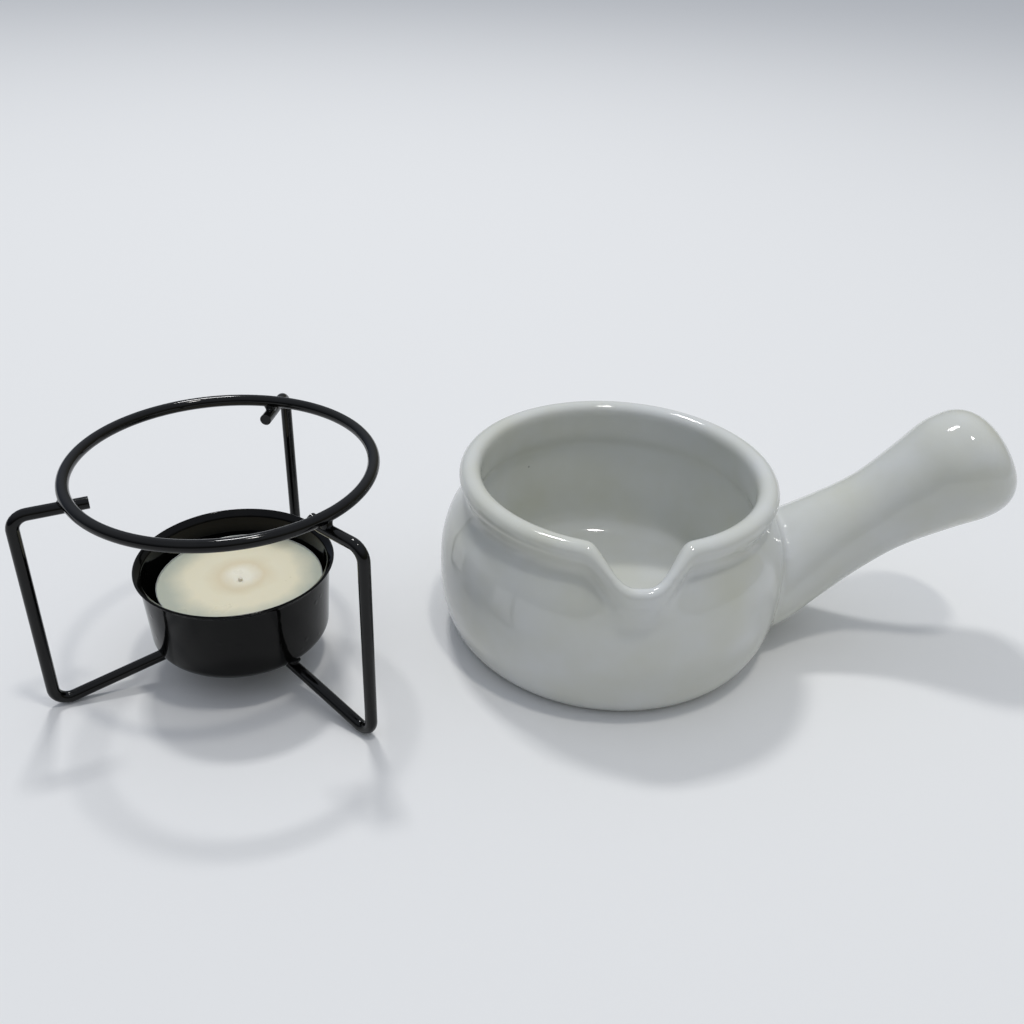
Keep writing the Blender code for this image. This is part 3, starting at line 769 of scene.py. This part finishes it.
wireEnamel = stoveEnamel("stoveEnamelOnWire", enamel["onWire"])
holderEnamel = stoveEnamel("stoveEnamelOnPressing", enamel["onPressing"])
drawnWire = wireTree()
buildWires(drawnWire, wireEnamel)
buildWelds(drawnWire, wireEnamel)
buildHolder(holderEnamel)
print("stand drawn, welded, pressed and enamelled")


# the tealight
candle = {"radius": 18.9, "taper": 0.8, "height": 12.9, "foil": 0.2, "gap": 0.3,
          "foilCorner": 1.2, "foilTurns": 384, "flutes": 48, "fluteDepth": 0.015,
          "below": 0.25, "wick": 0.6, "sheet": 0.4, "sustainer": 6.5, "collar": 2.6,
          "unevenness": 0.10, "unevenLength": 6.25, "strands": 3, "strandTurn": 2.4,
          "braidFrom": 20.0}


def buildCup(material):
    c = candle
    corners = [(0, 0, c["foil"] / 2), (c["radius"] - c["taper"] - c["foil"] / 2, 0, c["foil"] / 2),
               (c["radius"] - c["foil"] / 2, 0, c["height"] - c["foil"] / 2)]
    profile = sheetProfile(spread(roundCorners(corners, c["foilCorner"], 8), 0.8), c["foil"])

    def wobble(r, z, a):            # shallow flutes pressed in the foil
        side = np.clip((z / mm - 2) / 4, 0, 1) * (r > 12 * mm)
        return side * (c["fluteDepth"] * np.cos(c["flutes"] * a) - 0.01)

    axis = candleAxis + Vector((0, 0, candleBase))
    mesh = turnedMesh("foilCup", profile, axis, c["foilTurns"], wobble)
    obj = newObject("foilCup", mesh, material)
    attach(obj, "tealight")
    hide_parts("candle_cup")


def buildWax(material):
    c = candle
    bore, bottom = c["wick"] * 0.7, c["sheet"] + c["gap"]
    collar = c["wick"] + c["sheet"] + 2 * c["gap"] + 0.1
    discTop, collarTop = bottom + c["sheet"] + c["gap"], bottom + c["collar"] + c["gap"]
    top = c["height"] - c["below"]

    def side(height):
        return c["radius"] - c["taper"] * (1 - height / c["height"]) - c["foil"] - 0.02

    # out from the wick and in from the side, each with its depth below the edge
    byWick = [(0, 0.5), (0.9, 0.46), (2.2, 0.5), (4.2, 0.28), (6.5, 0.16)]
    bySide = [(4.5, 0.2), (1.6, 0.16), (0.5, 0.03), (0, 0)]
    surface = smoothThrough([(bore + out, top - deep) for out, deep in byWick]
                            + [(side(top) - within, top - deep) for within, deep in bySide], 5)
    below = [(side(top - 0.4), top - 0.4), (side(bottom + 1), bottom + 1),
             (side(bottom) - 1, bottom), (c["sustainer"] + c["gap"], bottom),
             (c["sustainer"] + c["gap"], discTop), (collar, discTop), (collar, collarTop),
             (bore, collarTop)]
    profile = list(surface) + [np.array(p) for p in below] + [surface[0]]

    axis = candleAxis + Vector((0, 0, candleBase))
    mesh = turnedMesh("castWax", profile, axis, 192)
    for vert in mesh.vertices:      # the wax shrank a little unevenly as it set
        if vert.co.z > candleBase + (top - 0.7) * mm:
            reach = (Vector((vert.co.x, vert.co.y, 0)) - candleAxis).length
            fade = min(1, max(0, (side(top) * mm - reach) / (3 * mm)))
            swell = noise.noise(vert.co / (c["unevenLength"] * mm))
            vert.co.z += c["unevenness"] * mm * fade * swell
    obj = newObject("castWax", mesh, material)
    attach(obj, "tealight")
    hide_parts("wax")


def buildWick(material):
    c = candle
    low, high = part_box("wick")
    turns = 2 * math.pi * np.arange(36) / 36
    rings = []
    for t in np.linspace(0, 1, 60):
        z = mix(low.z, high.z, t)
        nose = 1.0 if t < 0.96 else 0.85
        twist = c["strands"] / 2 * turns + z / mm * c["strandTurn"]
        braid = 1 - 0.10 * np.abs(np.sin(twist)) * (z / mm > c["braidFrom"])
        r = c["wick"] * mm * nose * braid
        rings.append(np.stack([candleAxis.x + r * np.cos(turns), candleAxis.y + r * np.sin(turns),
                               z + 0 * turns], axis=1))
    obj = newObject("waxedWick", gridMesh("waxedWick", rings), material)
    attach(obj, "tealight")
    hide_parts("wick")


# cast paraffin, milky: light sinks in a few millimetres, shown as a painted glow, cream round a
# spot just
#  behind the wick, and as painted shade, grey-green at the thin edge by the dark cup; a faint
#  brown stain rings the glow
# the lightest and middle tones are a painted glow and the edge tone is painted shade, not the
# wax's own colour; stain is a real stain
waxLook = {"middle": "#E4DDC2", "paintedGlow": "#EAE5D2", "edge": "#B6BAAA", "stain": "#DCD0B1",
           "paintedGlowAside": 1.8, "roughness": 0.30, "cloud": 7.0, "cloudShift": 4.5, "grain": 1.1,
           "toneReach": 22.0, "tones": ((0.18, "paintedGlow"), (0.34, "stain"), (0.50, "middle"),
                                        (0.66, "middle"), (0.90, "edge"))}


def castParaffin():
    material, tree, where = newMaterial("castParaffin")
    # centre of the painted glow, a little behind the wick
    paintedGlow = (-candleAxis.x, -candleAxis.y - waxLook["paintedGlowAside"] * mm, 0)
    centred = addNode(tree, "ShaderNodeMapping", {}, {"Vector": where, "Location": paintedGlow,
                                                      "Scale": (1, 1, 0)})
    reach = addNode(tree, "ShaderNodeVectorMath", {"operation": "LENGTH"},
                    {"Vector": centred.outputs["Vector"]})
    cloud = noiseOf(tree, where, waxLook["cloud"], 4, 0.55)
    shifted = addNode(tree, "ShaderNodeMath", {"operation": "MULTIPLY_ADD"}, {
        0: cloud, 1: waxLook["cloudShift"] * mm, 2: reach.outputs["Value"]})
    share = stretched(tree, shifted.outputs["Value"], (0, waxLook["toneReach"] * mm))
    # painted glow in the middle fading to painted shade at the edge, by distance from that centre
    tone = ramp(tree, share, [(spot, waxLook[name]) for spot, name in waxLook["tones"]])
    rough = stretched(tree, cloud, (0, 1), (waxLook["roughness"] - 0.1,
                                            waxLook["roughness"] + 0.12))
    grain = bumped(tree, noiseOf(tree, where, waxLook["grain"], 4), 0.25, 0.06)
    closeMaterial(tree, {"Base Color": tone, "Roughness": rough, "IOR": 1.44,
                         "Subsurface Weight": 0.35, "Subsurface Radius": (1.0, 0.85, 0.6),
                         "Subsurface Scale": 2.0 * mm, "Normal": grain})
    return material


# drawn sheet metal: soft upright scuffs from the die that break its shine into streaks
metals = {"cup": {"color": "#D4D7D4", "roughness": 0.3},
          "sustainer": {"color": "#BEBDB6", "roughness": 0.35},
          "scuffColor": "#BEC1BF", "scuffWidth": 0.5, "scuffSquash": 0.08}


def rolledMetal(name, look):
    material, tree, where = newMaterial(name)
    upright = addNode(tree, "ShaderNodeMapping", {}, {
        "Vector": where, "Scale": (1, 1, metals["scuffSquash"])})
    scuff = noiseOf(tree, upright.outputs["Vector"], metals["scuffWidth"], 3)
    tone = ramp(tree, scuff, [(0.3, look["color"]), (0.8, metals["scuffColor"])])
    rough = stretched(tree, scuff, (0, 1), (look["roughness"] - 0.08, look["roughness"] + 0.12))
    closeMaterial(tree, {"Base Color": tone, "Metallic": 1.0, "Roughness": rough,
                         "Normal": bumped(tree, scuff, 0.12, 0.02)})
    return material


# three-strand cotton stiffened with wax: off-white strands wound at a slant
cotton = {"shaded": "#D8CFB4", "lit": "#EEE8D6", "strand": 2.2, "roughness": 0.6}


def braidedCotton():
    material, tree, where = newMaterial("braidedCotton")
    strands = addNode(tree, "ShaderNodeTexWave", {"bands_direction": "DIAGONAL"}, {
        "Vector": where, "Scale": 1 / (cotton["strand"] * mm), "Distortion": 2.0, "Detail": 2})
    tone = ramp(tree, strands.outputs["Fac"], [(0.2, cotton["shaded"]), (0.8, cotton["lit"])])
    closeMaterial(tree, {"Base Color": tone, "Roughness": cotton["roughness"], "Sheen Weight": 0.2,
                         "Normal": bumped(tree, strands.outputs["Fac"], 0.3, 0.05)})
    return material


buildCup(rolledMetal("drawnAluminium", metals["cup"]))
buildWax(castParaffin())
buildWick(braidedCotton())
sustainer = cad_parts["wick_sustainer"]
sustainer.data.materials.clear()
sustainer.data.materials.append(rolledMetal("tinnedSteel", metals["sustainer"]))
print("tealight poured and set in its cup")
